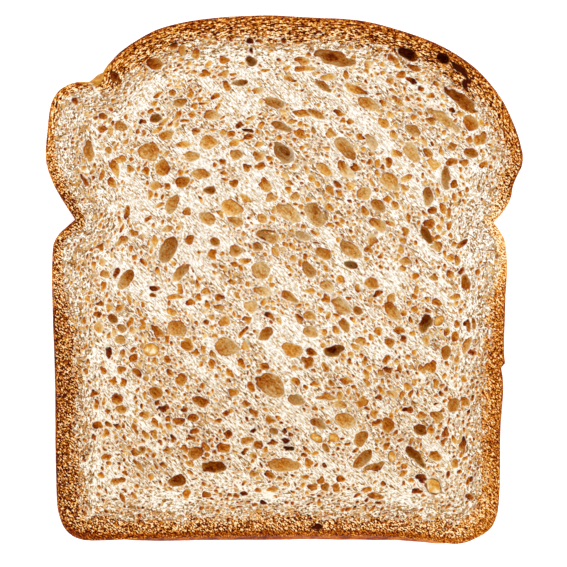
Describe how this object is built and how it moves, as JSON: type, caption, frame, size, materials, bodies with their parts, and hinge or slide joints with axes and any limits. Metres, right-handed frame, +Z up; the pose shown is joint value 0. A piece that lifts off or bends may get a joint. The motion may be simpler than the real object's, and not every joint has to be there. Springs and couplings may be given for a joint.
{
  "type": "bread slice",
  "caption": "Slice of pan bread with an overhanging crown, open pored crumb and a browned crust, lying flat with its cut face up.",
  "frame": {"origin": "on the plane of the back face, under the middle of the slice's box", "axes": "+Y from the heel to the crown, +X to the right as the cut face is seen, +Z up out of the cut face"},
  "size_m": [0.1172, 0.1302, 0.0133],
  "materials": {
    "crumb": "matte, cream white with tan open bubbles",
    "crust": "matte baked golden to dark brown",
    "grain": "satin pale yellow cut grain"
  },
  "bodies": {
    "root": {"bread_slice": "crumb"}
  },
  "joints": []
}
